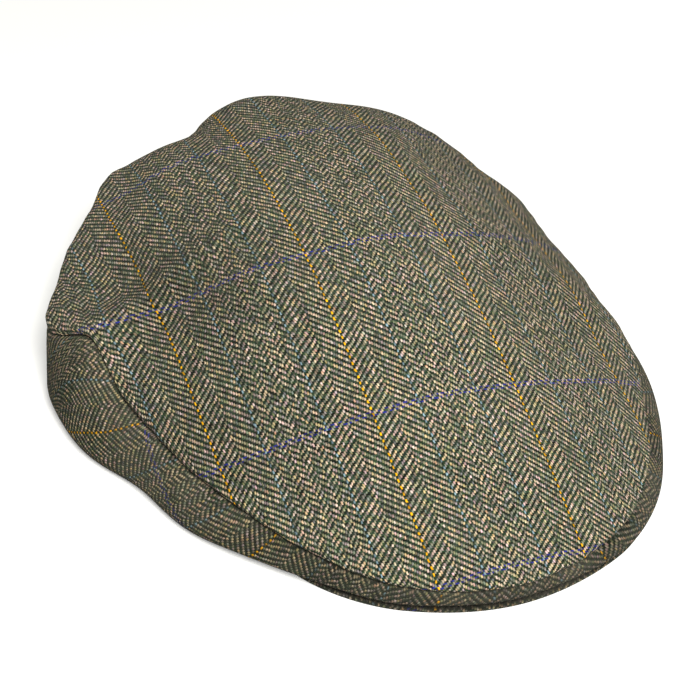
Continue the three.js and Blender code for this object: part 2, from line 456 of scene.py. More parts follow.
def running_length(heights, axis, start):
    step = np.gradient(heights, NET_STEP, axis=axis)
    length = np.cumsum(np.sqrt(1 + np.clip(step, -STEEPEST, STEEPEST) ** 2), axis=axis) * NET_STEP
    return length - np.take(length, [start], axis=axis)


net_u = running_length(net_z, 0, int(np.argmin(np.abs(net_x + MIDDLE[0]))))
net_v = running_length(net_z, 1, int(np.argmin(np.abs(net_y + MIDDLE[1]))))
print("net over the crown:", net_z.shape, "points")

# %% [markdown]
# A place in the cloth is now counted in threads: ends across, which are the warp, and picks along,
# which are the weft. On this cap the cloth lies turned by a few degrees and is eased a little
# over the crown, as it is when it has been shrunk over a block with steam. The drift gives that.

# %% The top panel's threads
END_PITCH = 0.78
PICK_PITCH = 0.738
TOP_MIDDLE_END = 40
DRIFT_REACH = 120
PICK_EASE = 1.01
NET_EDGE = 1.001
END_DRIFT = {
    "all": 5.0,
    "back": 11.6,
    "left": -10.0,
    "back_curve": 2.4,
    "twist": 3.3,
    "left_curve": -8.3,
}
PICK_DRIFT = {"all": 14.9, "left": 13.9, "back": -5.6, "left_curve": -20.4, "back_curve": -15.8}


def read_net(values, x, y):
    fx = np.clip((x - net_x[0]) / NET_STEP, 0, len(net_x) - NET_EDGE)
    fy = np.clip((y - net_y[0]) / NET_STEP, 0, len(net_y) - NET_EDGE)
    i = fx.astype(int)
    j = fy.astype(int)
    a = fx - i
    b = fy - j
    low = values[i, j] * (1 - a) + values[i + 1, j] * a
    high = values[i, j + 1] * (1 - a) + values[i + 1, j + 1] * a
    return low * (1 - b) + high * b


def top_threads(points):
    u = read_net(net_u, points[..., 0], points[..., 1]) / END_PITCH
    v = read_net(net_v, points[..., 0], points[..., 1]) / PICK_PITCH
    left = u / DRIFT_REACH
    back = (points[..., 1] + MIDDLE[1]) / DRIFT_REACH
    drift = END_DRIFT["all"] + END_DRIFT["back"] * back + END_DRIFT["left"] * left
    drift = drift + END_DRIFT["back_curve"] * back ** 2 + END_DRIFT["twist"] * left * back
    drift = drift + END_DRIFT["left_curve"] * left ** 2
    eased = PICK_DRIFT["all"] + PICK_DRIFT["left"] * left + PICK_DRIFT["back"] * back
    eased = eased + PICK_DRIFT["left_curve"] * left ** 2 + PICK_DRIFT["back_curve"] * back ** 2
    return np.stack([u - drift + TOP_MIDDLE_END, v * PICK_EASE + eased], -1)


def carried_past_brow(points, threads, last):
    step = np.linalg.norm(np.diff(points[:, last:], axis=1), axis=-1)
    run = np.cumsum(step, axis=1)
    way = threads[:, last] - threads[:, last - 3]
    way = way / np.linalg.norm(way * (END_PITCH, PICK_PITCH), axis=-1, keepdims=True)
    threads[:, last + 1:] = threads[:, last, None] + run[..., None] * way[:, None]
    return threads


brow_ring = len(dome_shares) - 1
top_uv = carried_past_brow(top_outer, top_threads(top_outer), brow_ring)
print("ends across the panel:", round(float(np.ptp(top_uv[..., 0]))))

# %% [markdown]
# Every piece has an outer face, an inner face and turned edges, joined into one closed skin. A
# Solidify modifier could thicken a sheet too, but here each edge is turned in its own way. The
# helper takes the rings in order and writes the thread places as the mesh's UV map. A second
# layer holds painted shade and light at each point: 1 on the face, less in a seam or under a lip,
# where shade is painted into the cloth, and a little more or less in broad patches.

# %% Build a closed skin from rings
def new_object(name, points, faces, threads, painted_shading):
    points = points.reshape(-1, 3)
    threads = threads.reshape(-1, 2)
    mesh = bpy.data.meshes.new(name)
    mesh.from_pydata((points * MM).tolist(), [], faces)
    layer = mesh.uv_layers.new(name="threads")
    corners = np.empty(len(mesh.loops), dtype=np.int32)
    mesh.loops.foreach_get("vertex_index", corners)
    layer.data.foreach_set("uv", threads[corners].astype(np.float32).ravel())
    # A layer of painted shade and light, one value per point.
    painted_shading_attribute = mesh.attributes.new("painted_shading", "FLOAT", "POINT")
    painted_shading_attribute.data.foreach_set("value", painted_shading.astype(np.float32).ravel())
    mesh.shade_smooth()
    piece = bpy.data.objects.new(name, mesh)
    bpy.context.scene.collection.objects.link(piece)
    return piece


def ring_faces(spokes, rings, closed_round, closed_along):
    faces = []
    for i in range(spokes if closed_round else spokes - 1):
        for j in range(rings if closed_along else rings - 1):
            a = i * rings + j
            b = i * rings + (j + 1) % rings
            c = ((i + 1) % spokes) * rings + (j + 1) % rings
            d = ((i + 1) % spokes) * rings + j
            faces.append((a, b, c, d))
    return faces


def finish_piece(piece, node):
    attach(piece, "root")
    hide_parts(node)
    count = sum(len(face.vertices) - 2 for face in piece.data.polygons)
    print(piece.name, "has", count, "triangles")


# %% [markdown]
# The top panel's edge is turned in at the seam, and a narrow flap of it hangs down behind, as a
# seam allowance does. Without the flap, the pale table would show through the seam as a thin
# bright line. Shade is painted into the cloth in the groove, on the flap and on the inner face,
# and the table below paints broad, faint patches of shade, and one of light, over the crown.

# %% Top panel
INNER_STEP = 2
SEAM_FLAP = ((0.7, -0.1), (2.3, -0.1), (2.6, -3.0), (3.4, -3.0), (3.4, 0.3))
GROOVE_PAINTED_SHADE = 0.85
TOP_GROOVE_AT = 0.97
TOP_GROOVE_RUN = 0.02
# Broad patches of painted shade, and one of painted light, over the crown.
TOP_PAINTED_SHADING = table(
    ["x", "y", "turn", "long", "wide", "tone"],
    [
        [-68, 14, 112, 50, 28, -0.34],
        [-80, -52, 125, 36, 16, -0.24],
        [70, -24, 60, 60, 24, -0.15],
        [18, -60, 60, 60, 40, 0.08],
    ],
)


def top_painted_shading(x, y):
    total = 1 + 0 * x
    for patch in TOP_PAINTED_SHADING:
        total = total + patch["tone"] * patch_share(patch, x, y)
    return total


def make_top_panel():
    first = len(tuck_shares) + 1
    inner_shares = top_shares[::-1][first::INNER_STEP]
    inner = top_point(*grid(spoke_angles, inner_shares), CLOTH_WALL)
    inner_uv = top_uv[:, ::-1][:, first::INNER_STEP]
    cut = section_at(spoke_angles)
    turned = []
    for r_in, z_up in SEAM_FLAP:
        turned.append(from_axis(spoke_angles, cut["seam_r"] - r_in, cut["seam_z"] + z_up))
    turned = np.stack(turned, axis=1)
    turned_uv = np.repeat(top_uv[:, -1:], len(SEAM_FLAP), axis=1)
    points = np.concatenate([top_outer, turned, inner], axis=1)
    threads = np.concatenate([top_uv, turned_uv, inner_uv], axis=1)
    rings = points.shape[1]
    faces = ring_faces(SPOKES, rings, True, False)
    # Painted shade in the seam groove, less where the seam fades out on the left.
    groove_shade = GROOVE_PAINTED_SHADE * (1 - smooth_seam(spoke_angles))[:, None]
    painted_shading = top_painted_shading(points[..., 0], points[..., 1])
    near_seam = smooth_step((top_shares - TOP_GROOVE_AT) / TOP_GROOVE_RUN)
    painted_shading[:, :len(top_shares)] *= 1 - groove_shade * near_seam
    # The flap and the inner face are painted dark, as shade.
    painted_shading[:, len(top_shares):] = 1 - GROOVE_PAINTED_SHADE
    return new_object("top_panel_cloth", points, faces, threads, painted_shading)


top_panel = make_top_panel()
finish_piece(top_panel, "top_panel")

# %% [markdown]
# The side band starts inside the seam, comes over a small turned edge, swells out to its belly
# and rolls under to the hem. It is one strip cut as a curve, so its threads stand square to the
# seam at the front and lean over towards the sides. Its two ends meet at the centre back. It
# could be the top panel's edge pulled outwards, but worked out from the same cuts as the top, it
# keeps an even gap to it all the way round.

# %% The band's form
BAND_SPOKES = 360
BAND_EVEN_SWELL = 0.45
FACE_END = 0.55
ROLL_END = 0.8
EDGE_CURL = 1.5
CURL_REACH = 1.1
CURL_DROP = 0.3
CURL_LOST = 0.9
RIPPLE_OFF_SEAM = 4
RIPPLE_OFF_HEM = 0.25
BAND_RIPPLE_SEED = 8
BAND_PUCKER_SEED = 6
BAND_PUCKER_SHARE = 0.5
BAND_PUCKER_AT = 2.5


def band_outline(angle, part):
    cut = section_at(angle)
    face = np.clip(part / FACE_END, 0, 1)
    roll_part = np.clip((part - FACE_END) / (ROLL_END - FACE_END), 0, 1)
    under = np.clip((part - ROLL_END) / (1 - ROLL_END), 0, 1)
    top = cut["seam_z"] - PIECE_GAP
    fall = BAND_EVEN_FALL * face + (1 - BAND_EVEN_FALL) * (1 - np.cos(face * math.pi / 2))
    swell = BAND_EVEN_SWELL * face + (1 - BAND_EVEN_SWELL) * np.sin(face * math.pi / 2)
    face_r = cut["seam_r"] + (cut["belly_r"] - cut["seam_r"]) * swell
    face_z = top + (cut["belly_z"] - top) * fall
    roll = cut["belly_z"] - cut["hem_z"]
    roll_r = cut["belly_r"] - roll + roll * np.cos(roll_part * math.pi / 2)
    roll_z = cut["belly_z"] - roll * np.sin(roll_part * math.pi / 2)
    hem_r = np.minimum(cut["hem_r"], cut["belly_r"] - roll - 1)
    under_r = cut["belly_r"] - roll + (hem_r - cut["belly_r"] + roll) * under
    radius = np.where(part > ROLL_END, under_r, np.where(part > FACE_END, roll_r, face_r))
    z = np.where(part > ROLL_END, cut["hem_z"], np.where(part > FACE_END, roll_z, face_z))
    return radius, z


def running_sum(steps):
    return np.concatenate([np.zeros((len(steps), 1)), np.cumsum(steps, axis=1)], axis=1)


def band_faces(angle, parts):
    a, p = grid(angle, parts)
    radius, z = band_outline(a, p)
    along_r = np.gradient(radius, axis=1)
    along_z = np.gradient(z, axis=1)
    size = np.hypot(along_r, along_z)
    square_r = along_z / size
    square_z = -along_r / size
    run = running_sum(np.hypot(np.diff(radius), np.diff(z)))
    curl = EDGE_CURL * (1 - CURL_LOST * smooth_seam(a)) * np.exp(-((run / CURL_REACH) ** 2))
    x, y, height = np.moveaxis(from_axis(a, radius, z), -1, 0)
    wave = ripple(x, y, height, BAND_RIPPLE_SEED)
    wave = wave * smooth_step(run / RIPPLE_OFF_SEAM) * smooth_step((1 - p) / RIPPLE_OFF_HEM)
    near_seam = np.exp(-(((run - BAND_PUCKER_AT) / BAND_PUCKER_AT) ** 2))
    wave = wave + BAND_PUCKER_SHARE * PUCKER_HEIGHT * pucker(a, BAND_PUCKER_SEED) * near_seam
    outer_r = radius - curl - square_r * wave
    outer_z = np.maximum(z - CURL_DROP * curl - square_z * wave, 0.0)
    inner_r = radius + square_r * CLOTH_WALL
    inner_z = z + square_z * CLOTH_WALL
    return outer_r, outer_z, inner_r, inner_z, run


band_angles = np.linspace(-180, 180, BAND_SPOKES + 1)
stretches = ((0.0, 0.06, 8), (0.06, FACE_END, 26), (FACE_END, ROLL_END, 15), (ROLL_END, 1.0, 7))
band_parts = np.unique(np.concatenate([np.linspace(*stretch) for stretch in stretches]))
print("band rings:", len(band_parts))

# %% [markdown]
# The strip was flat before it was sewn on, so its threads are laid out along the seam. Each step
# round the seam turns the flat strip by a little, as its curved cut does, and the threads lean
# over more beside the peak. Seen from the front, the coloured lines then run straight across the
# seam, as they do where a careful maker has matched the two pieces.

# %% The band's threads
BAND_TURN = 35.0
BAND_TURN_END = 133.0
BAND_LEAN = 14.0
BAND_LEAN_START = 40.0
BAND_FIRST_PICK = -20.5


def band_threads(angle, run):
    radius, z = band_outline(angle, np.zeros_like(angle))
    seam = from_axis(angle, radius, z)
    step = np.linalg.norm(np.diff(seam, axis=0), axis=1)
    along = np.concatenate([[0], np.cumsum(step)])
    along = along - np.interp(0.0, angle, along)
    turn = -math.radians(BAND_TURN) * np.clip(along / BAND_TURN_END, -1, 1)
    lean = turn - math.radians(BAND_LEAN) * np.clip(along / BAND_LEAN_START, -1, 1)
    middle = 0.5 * (turn[1:] + turn[:-1])
    seam_u = np.concatenate([[0], np.cumsum(np.cos(middle) * step)])
    seam_v = np.concatenate([[0], np.cumsum(np.sin(middle) * step)])
    seam_u = seam_u - np.interp(0.0, angle, seam_u)
    seam_v = seam_v - np.interp(0.0, angle, seam_v)
    u = (seam_u[:, None] + run * np.sin(lean)[:, None]) / END_PITCH + TOP_MIDDLE_END
    v = (seam_v[:, None] - run * np.cos(turn)[:, None]) / PICK_PITCH + BAND_FIRST_PICK
    return np.stack([u, v], -1)


# %% [markdown]
# The band is a strip with two ends that meet at the back, so its skin is closed by a cap at each
# end. Little light gets under the belly or into the seam, so shade is painted into the cloth there.
# Over the peak the band gets more painted shade, and on the left a little painted light.

# %% Side band
BAND_GROOVE_RUN = 1.0
ROLL_PAINTED_SHADE = 0.8
ROLL_DARK_FROM = 0.60
ROLL_DARK_RUN = 0.14
# Painted shade over the peak and painted light on the left.
BAND_PAINTED_SHADING = table(["at", "spread", "tone"], [[0, 42, -0.36], [-70, 26, 0.1]])


def band_painted_shading(angle):
    total = np.ones_like(angle)
    for patch in BAND_PAINTED_SHADING:
        away = wrapped(angle - patch["at"]) / patch["spread"]
        total = total + patch["tone"] * np.exp(-(away ** 2))
    return total


def add_end_caps(faces, spokes, rings):
    faces.append(tuple(range(rings)))
    faces.append(tuple((spokes - 1) * rings + k for k in reversed(range(rings))))


def make_side_band():
    outer_r, outer_z, inner_r, inner_z, run = band_faces(band_angles, band_parts)
    outer = from_axis(band_angles[:, None], outer_r, outer_z)
    inner = from_axis(band_angles[:, None], inner_r, inner_z)[:, ::-1][:, ::INNER_STEP]
    outer_uv = band_threads(band_angles, run)
    inner_uv = outer_uv[:, ::-1][:, ::INNER_STEP]
    points = np.concatenate([outer, inner], axis=1)
    threads = np.concatenate([outer_uv, inner_uv], axis=1)
    rings = points.shape[1]
    faces = ring_faces(BAND_SPOKES + 1, rings, False, True)
    add_end_caps(faces, BAND_SPOKES + 1, rings)
    groove_shade = GROOVE_PAINTED_SHADE * (1 - smooth_seam(band_angles))[:, None]
    painted_shading = np.ones(points.shape[:2])
    # Painted shade in the seam groove and where the band rolls under its belly.
    under = smooth_step((band_parts - ROLL_DARK_FROM) / ROLL_DARK_RUN)
    painted_shading[:, :len(band_parts)] -= groove_shade * np.exp(-((run / BAND_GROOVE_RUN) ** 2))
    painted_shading[:, :len(band_parts)] *= 1 - ROLL_PAINTED_SHADE * under
    # Painted shade over the peak, painted light on the left.
    painted_shading *= band_painted_shading(band_angles)[:, None]
    return new_object("side_band_cloth", points, faces, threads, painted_shading)


side_band = make_side_band()
finish_piece(side_band, "side_band")

# %% [markdown]
# The peak is a stiff crescent covered in the same cloth. It lies flat on the table under the
# front of the band, and only its rounded front edge shows as a second lip. It reaches from the
# curve of the forehead to just short of the band's belly. Its upper face lies in deep shade, so
# its cloth is toned almost black there, which keeps the dark gap between the two lips. It is
# drawn thinner than the solid peak for the same reason.

# %% Peak
PEAK_THICKNESS = 3.2
PEAK_SPOKES = 161
PEAK_RINGS = 12
PEAK_RIM_STEPS = 9
PEAK_HALF_ANGLE = 38.0
PEAK_CORNER_POWER = 8
PEAK_END_SHARE = 0.01
PEAK_SETBACK = 2.2
PEAK_EDGE_ROUND = 1.6
PEAK_TOP_DARK = 0.9
PEAK_DARK_FROM = 0.45
PEAK_DARK_RUN = 0.4
HEAD_HALF_WIDTH = 82.0
HEAD_HALF_LENGTH = 98.0
HEAD_CENTRE_Y = 12.0


def head_radius(angle):
    x = np.sin(np.radians(angle)) / HEAD_HALF_WIDTH
    y = np.cos(np.radians(angle)) / HEAD_HALF_LENGTH
    offset = (CROWN_Y - HEAD_CENTRE_Y) / HEAD_HALF_LENGTH
    squares = x * x + y * y
    return (y * offset + np.sqrt(y * y * offset ** 2 + squares * (1 - offset ** 2))) / squares


def make_peak():
    angle = np.linspace(-PEAK_HALF_ANGLE, PEAK_HALF_ANGLE, PEAK_SPOKES)
    near = head_radius(angle)
    far = section_at(angle)["belly_r"] - PEAK_SETBACK
    corner = 1 - np.abs(angle / PEAK_HALF_ANGLE) ** PEAK_CORNER_POWER
    edge = near + (far - near) * np.sqrt(np.maximum(corner, PEAK_END_SHARE))
    rim = np.linspace(-math.pi / 2, math.pi / 2, PEAK_RIM_STEPS)
    rows_r = []
    rows_z = []
    for share in np.linspace(0, 1, PEAK_RINGS):
        rows_r.append(near + (edge - PEAK_EDGE_ROUND - near) * share)
        rows_z.append(np.zeros_like(angle))
    for turn in rim[1:-1]:
        rows_r.append(edge - PEAK_EDGE_ROUND + PEAK_EDGE_ROUND * math.cos(turn))
        rows_z.append(np.full_like(angle, PEAK_THICKNESS / 2 * (1 + math.sin(turn))))
    for share in np.linspace(1, 0, PEAK_RINGS):
        rows_r.append(near + (edge - PEAK_EDGE_ROUND - near) * share)
        rows_z.append(np.full_like(angle, PEAK_THICKNESS))
    radius = np.stack(rows_r, axis=1)
    z = np.stack(rows_z, axis=1)
    points = from_axis(angle[:, None], radius, z)
    run = running_sum(np.hypot(np.diff(radius), np.diff(z)))
    turn = np.radians(angle)[:, None]
    top_run = run - run[:, -1:]
    u = (points[..., 0] + MIDDLE[0]) / END_PITCH + TOP_MIDDLE_END
    v = -(near[:, None] - top_run) * np.cos(turn) / PICK_PITCH
    rings = points.shape[1]
    faces = ring_faces(PEAK_SPOKES, rings, False, True)
    add_end_caps(faces, PEAK_SPOKES, rings)
    threads = np.stack([u, v], -1)
    upper = smooth_step((z - PEAK_DARK_FROM * PEAK_THICKNESS) / (PEAK_DARK_RUN * PEAK_THICKNESS))
    return new_object("peak_cloth", points, faces, threads, 1 - PEAK_TOP_DARK * upper)


peak = make_peak()
finish_piece(peak, "peak")

# %% [markdown]
# A material is a tree of nodes, and each node does one small sum. The weave needs well over a
# hundred of them, too many to place by hand. So short helpers make them: work("ADD", a, b) adds a
# node and gives back its result, which can go straight into the next sum.

# %% Helpers for node arithmetic
def joined(tree, socket, value):
    if isinstance(value, (int, float)):
        socket.default_value = value
    else:
        tree.links.new(value, socket)


def arithmetic(tree):
    def work(operation, *values):
        node = tree.nodes.new("ShaderNodeMath")
        node.operation = operation
        for socket, value in zip(node.inputs, values):
            joined(tree, socket, value)
        return node.outputs[0]
    return work


def blended(tree, share, colour_a, colour_b):
    node = tree.nodes.new("ShaderNodeMix")
    node.data_type = "RGBA"
    for name, value in ((0, share), (6, colour_a), (7, colour_b)):
        if isinstance(value, tuple):
            node.inputs[name].default_value = (*value, 1.0)
        else:
            joined(tree, node.inputs[name], value)
    return node.outputs[2]


def noise_at(tree, vector, scale, detail=2.0):
    node = tree.nodes.new("ShaderNodeTexNoise")
    node.inputs["Scale"].default_value = scale
    node.inputs["Detail"].default_value = detail
    tree.links.new(vector, node.inputs["Vector"])
    return node.outputs["Fac"]


def place(tree, x, y, z=0.0):
    node = tree.nodes.new("ShaderNodeCombineXYZ")
    joined(tree, node.inputs[0], x)
    joined(tree, node.inputs[1], y)
    joined(tree, node.inputs[2], z)
    return node.outputs[0]


def multiplied(tree, colour_a, colour_b):
    node = tree.nodes.new("ShaderNodeMix")
    node.data_type = "RGBA"
    node.blend_type = "MULTIPLY"
    node.inputs[0].default_value = 1.0
    tree.links.new(colour_a, node.inputs[6])
    tree.links.new(colour_b, node.inputs[7])
    return node.outputs[2]


print("node helpers ready")

# %% [markdown]
# What several materials share is best kept in a node group. Its sockets have names, as a form has
# fields, and each material fills them in for itself. This helper makes an empty group with its
# sockets, and hands back what goes in, what comes out, and the arithmetic for its inside.

# %% Helper for node groups
SOCKET_KINDS = {
    "value": "NodeSocketFloat",
    "vector": "NodeSocketVector",
    "colour": "NodeSocketColor",
}


def new_group(name, entries, exits):
    group = bpy.data.node_groups.new(name, "ShaderNodeTree")
    for title, kind in entries:
        group.interface.new_socket(title, in_out="INPUT", socket_type=SOCKET_KINDS[kind])
    for title, kind in exits:
        group.interface.new_socket(title, in_out="OUTPUT", socket_type=SOCKET_KINDS[kind])
    entry = group.nodes.new("NodeGroupInput").outputs
    leave = group.nodes.new("NodeGroupOutput").inputs
    return group, entry, leave, arithmetic(group)


print("kinds of socket:", sorted(SOCKET_KINDS))

# %% [markdown]
# Tweed is woven, so its pattern is counted in threads and not painted. In a herringbone the light
# warp goes over two dark weft threads and under two, one step further along at each end, and the
# steps turn back every few ends. The group below works out which thread lies on top at each
# point, and where on that thread the point is. A wave texture could draw zigzag stripes too, but
# without single threads. A little noise in the count keeps the threads from lying too straight.

# %% Where each thread lies
END_REPEAT = 80
WIDE_COLUMN = 12
NARROW_COLUMN = 4
NARROW_FROM = 24
NARROW_TO = 56
TWILL_ROUND = 4.0
WARP_UP_STEPS = 2
TURNED_STEP = 3.0
SLOW_WOBBLE_SCALE = 0.16
SLOW_WOBBLE = 1.2
QUICK_WOBBLE_SCALE = 0.7
QUICK_WOBBLE = 0.8


def build_herringbone():
    exits = ("End", "Pick", "In End", "In Pick", "Repeat Place", "Warp Up", "Phase", "Float")
    group, entry, leave, work = new_group(
        "herringbone", [("Threads", "vector")], [(name, "value") for name in exits]
    )
    split = group.nodes.new("ShaderNodeSeparateXYZ")
    group.links.new(entry["Threads"], split.inputs[0])
    slow = noise_at(group, entry["Threads"], SLOW_WOBBLE_SCALE, 1.0)
    slow = work("MULTIPLY", work("SUBTRACT", slow, 0.5), SLOW_WOBBLE)
    quick = noise_at(group, entry["Threads"], QUICK_WOBBLE_SCALE, 1.0)
    quick = work("MULTIPLY", work("SUBTRACT", quick, 0.5), QUICK_WOBBLE)
    wobble = work("ADD", slow, quick)
    across = work("ADD", split.outputs[0], wobble)
    along = work("SUBTRACT", split.outputs[1], wobble)
    end = work("FLOOR", across)
    pick = work("FLOOR", along)
    in_repeat = work("FLOORED_MODULO", work("ADD", end, 0.5), float(END_REPEAT))
    seat = work("FLOOR", work("ADD", in_repeat, 0.01))
    after = work("GREATER_THAN", seat, NARROW_TO - 0.5)
    reached = work("GREATER_THAN", seat, NARROW_FROM - 0.5)
    narrow = work("MULTIPLY", reached, work("SUBTRACT", 1.0, after))
    wide_seat = work("SUBTRACT", seat, work("MULTIPLY", after, float(NARROW_TO)))
    narrower = work("MULTIPLY", narrow, float(WIDE_COLUMN - NARROW_COLUMN))
    width = work("SUBTRACT", float(WIDE_COLUMN), narrower)
    column = work("FLOOR", work("DIVIDE", work("ADD", wide_seat, 0.5), width))
    place_in = work("SUBTRACT", wide_seat, work("MULTIPLY", column, width))
    rising = work("FLOORED_MODULO", column, 2.0)
    turned = work("MULTIPLY", rising, work("ADD", work("MULTIPLY", place_in, 2.0), TURNED_STEP))
    step = work("SUBTRACT", turned, place_in)
    count = work("ADD", work("ADD", pick, step), 0.5)
    phase = work("FLOOR", work("FLOORED_MODULO", count, TWILL_ROUND))
    results = (
        end,
        pick,
        work("SUBTRACT", across, end),
        work("SUBTRACT", along, pick),
        seat,
        work("LESS_THAN", phase, WARP_UP_STEPS - 0.5),
        phase,
        work("FLOOR", work("DIVIDE", count, TWILL_ROUND)),
    )
    for name, value in zip(exits, results):
        group.links.new(value, leave[name])
    return group


herringbone = build_herringbone()
print("the herringbone group has", len(herringbone.nodes), "nodes")

# %% [markdown]
# Each yarn is spun from wool dyed in several colours, so a cream thread has pale, ochre and green
# stretches, and a dark one has black and grey ones. Noise that is drawn out along the thread
# gives these stretches. A chance value then shifts the hue a little from one float to the next.
# The colours are values of the wool itself, a good deal darker than the cloth looks in the light.

# %% The yarns' colours
WARP_CREAM = (0.30, 0.255, 0.172)
WARP_PALE = (0.455, 0.42, 0.33)
WARP_OCHRE = (0.25, 0.165, 0.078)
WARP_GREEN = (0.115, 0.140, 0.090)
WARP_ROSE = (0.33, 0.225, 0.165)
WEFT_GREEN = (0.027, 0.058, 0.032)
WEFT_DARK = (0.007, 0.011, 0.006)
WEFT_GREY = (0.09, 0.11, 0.085)
HUE_SHIFT = 0.44
FLECK_COLUMNS = ["colour", "stretch", "seed", "start", "gain", "share"]
WARP_FLECKS = table(
    FLECK_COLUMNS,
    [
        [WARP_PALE, 0.35, 0.0, 0.40, 4.0, 1.0],
        [WARP_OCHRE, 0.5, 9.0, 0.56, 7.0, 0.8],
        [WARP_GREEN, 0.4, 21.0, 0.60, 7.0, 0.7],
    ],
)
WEFT_FLECKS = table(
    FLECK_COLUMNS,
    [
        [WEFT_DARK, 0.2, 4.0, 0.40, 4.0, 1.0],
        [WEFT_GREY, 0.5, 2.0, 0.60, 7.0, 0.7],
    ],
)


def chance_at(tree, x, y):
    node = tree.nodes.new("ShaderNodeTexWhiteNoise")
    node.noise_dimensions = "2D"
    tree.links.new(place(tree, x, y), node.inputs["Vector"])
    return node.outputs["Value"], node.outputs["Color"]


def flecked(group, work, colour, flecks, row, along, is_warp):
    for kind in flecks:
        run = work("MULTIPLY", along, kind["stretch"])
        x, y = (row, run) if is_warp else (run, row)
        noise = noise_at(group, place(group, x, y, kind["seed"]), 1.0, 1.0)
        rise = work("MULTIPLY", work("SUBTRACT", noise, kind["start"]), kind["gain"])
        spot = work("MINIMUM", work("MAXIMUM", rise, 0.0), 1.0)
        colour = blended(group, work("MULTIPLY", spot, kind["share"]), colour, kind["colour"])
    return colour


def shifted_hue(group, work, colour, chances):
    split = group.nodes.new("ShaderNodeSeparateXYZ")
    group.links.new(chances, split.inputs[0])
    scaled = [work("MULTIPLY", channel, HUE_SHIFT) for channel in split.outputs]
    shifts = [work("ADD", channel, 1 - HUE_SHIFT / 2) for channel in scaled]
    return multiplied(group, colour, place(group, *shifts))


print("kinds of fleck:", len(WARP_FLECKS), "in the warp and", len(WEFT_FLECKS), "in the weft")

# %% [markdown]
# Warp and weft are made by one function each. A few warp floats are rosy or mossy, as if another
# dyed fleece got into the carding.

# %% Warp, weft and check
END_ROW = 7.3
PICK_ROW = 7.7
ROSE_ABOVE = 0.72
MOSS_BELOW = 0.16
TINT_SHARE = 0.6
PICK_REPEAT = 104
BLUE_ENDS = (24.0, 56.0)
NAVY_PICKS = (0.0, 2.0)
END_YELLOW = (0.74, 0.36, 0.006)
END_BLUE = (0.17, 0.25, 0.29)
PICK_NAVY = (0.020, 0.028, 0.22)


def warp_colour(group, work, end, along, tint, seat):
    row = work("MULTIPLY", end, END_ROW)
    warp = flecked(group, work, WARP_CREAM, WARP_FLECKS, row, along, True)
    split = group.nodes.new("ShaderNodeSeparateXYZ")
    group.links.new(tint, split.inputs[0])
    rosy = work("GREATER_THAN", split.outputs[1], ROSE_ABOVE)
    warp = blended(group, work("MULTIPLY", rosy, TINT_SHARE), warp, WARP_ROSE)
    mossy = work("LESS_THAN", split.outputs[1], MOSS_BELOW)
    warp = blended(group, work("MULTIPLY", mossy, TINT_SHARE), warp, WARP_GREEN)
    warp = shifted_hue(group, work, warp, tint)
    is_blue = work("ADD", *[work("COMPARE", seat, blue, 0.5) for blue in BLUE_ENDS])
    warp = blended(group, work("LESS_THAN", seat, 0.5), warp, END_YELLOW)
    return blended(group, is_blue, warp, END_BLUE)


def weft_colour(group, work, pick, across, tint):
    row = work("MULTIPLY", pick, PICK_ROW)
    weft = flecked(group, work, WEFT_GREEN, WEFT_FLECKS, row, across, False)
    weft = shifted_hue(group, work, weft, tint)
    in_repeat = work("FLOORED_MODULO", work("ADD", pick, 0.01), float(PICK_REPEAT))
    is_navy = work("ADD", *[work("COMPARE", in_repeat, navy + 0.01, 0.4) for navy in NAVY_PICKS])
    return blended(group, is_navy, weft, PICK_NAVY)


print("navy picks every", PICK_REPEAT, "picks, yellow ends every", END_REPEAT, "ends")

# %% [markdown]
# Yarns are round, so each one stands highest along its middle, and a warp float also bows over
# the two picks that it crosses. That height drives the bump and darkens the lower parts, since
# wool lets little light into its depths. Hair is fine noise, and wear mixes in a dusty tone.

# %% The cloth's colour, height and roughness
UNEVEN_LEAST = 0.52
UNEVEN_RANGE = 1.05
WEFT_HEIGHT = 0.6
FLOAT_CHANCE_STEP = 3.0
WEAR_SCALE = 0.021
WEAR_FROM = 0.35
WEAR_COLOUR = (0.19, 0.18, 0.14)
HAIR_SCALE = 3.2
HAIR_HEIGHT = 0.35
ROUGH_LEAST = 0.78
ROUGH_RANGE = 0.2


def yarn_heights(work, lie):
    run = work("MULTIPLY", work("ADD", lie["Phase"], lie["In Pick"]), math.pi / 2)
    arch = work("POWER", work("MAXIMUM", work("SINE", run), 0.0), 0.9)
    warp_side = work("SINE", work("MULTIPLY", lie["In End"], math.pi))
    weft_side = work("SINE", work("MULTIPLY", lie["In Pick"], math.pi))
    rounded = work("ADD", work("MULTIPLY", warp_side, 0.6), 0.4)
    bowed = work("ADD", work("MULTIPLY", arch, 0.75), 0.25)
    return work("MULTIPLY", rounded, bowed), work("MULTIPLY", weft_side, WEFT_HEIGHT)


